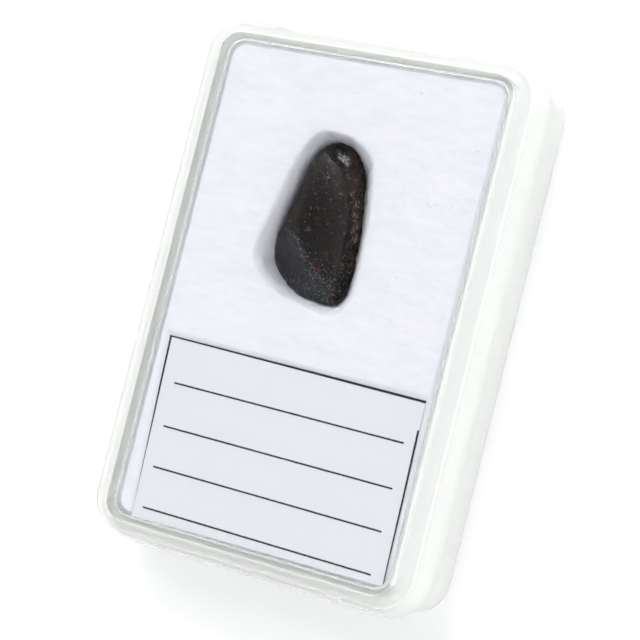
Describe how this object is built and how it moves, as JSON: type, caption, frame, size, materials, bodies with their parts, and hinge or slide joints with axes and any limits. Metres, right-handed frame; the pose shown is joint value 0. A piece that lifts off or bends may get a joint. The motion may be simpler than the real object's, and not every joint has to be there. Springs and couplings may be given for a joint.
{
  "type": "boxed chondrite meteorite specimen",
  "caption": "Dark wedge-shaped stony meteorite bedded in white cotton with a ruled blank label, in a small clear plastic display case with a lift-off lid.",
  "frame": {"origin": "middle of the case's underside, where it lies on its back", "axes": "+Z out of the window, +Y towards the stone's end of the case, +X to the label's right"},
  "size_m": [0.0486, 0.0708, 0.013],
  "materials": {
    "weathered_stone": "satin dark crust, smooth by handling",
    "cotton_wadding": "soft matt fibre",
    "label_paper": "uncoated white paper",
    "clear_polystyrene": "clear, polished in the mould"
  },
  "bodies": {
    "root": {"meteorite": "weathered_stone", "cotton_pad": "cotton_wadding", "label_card": "label_paper", "case_lid": "clear_polystyrene", "case_base": "clear_polystyrene"}
  },
  "joints": []
}
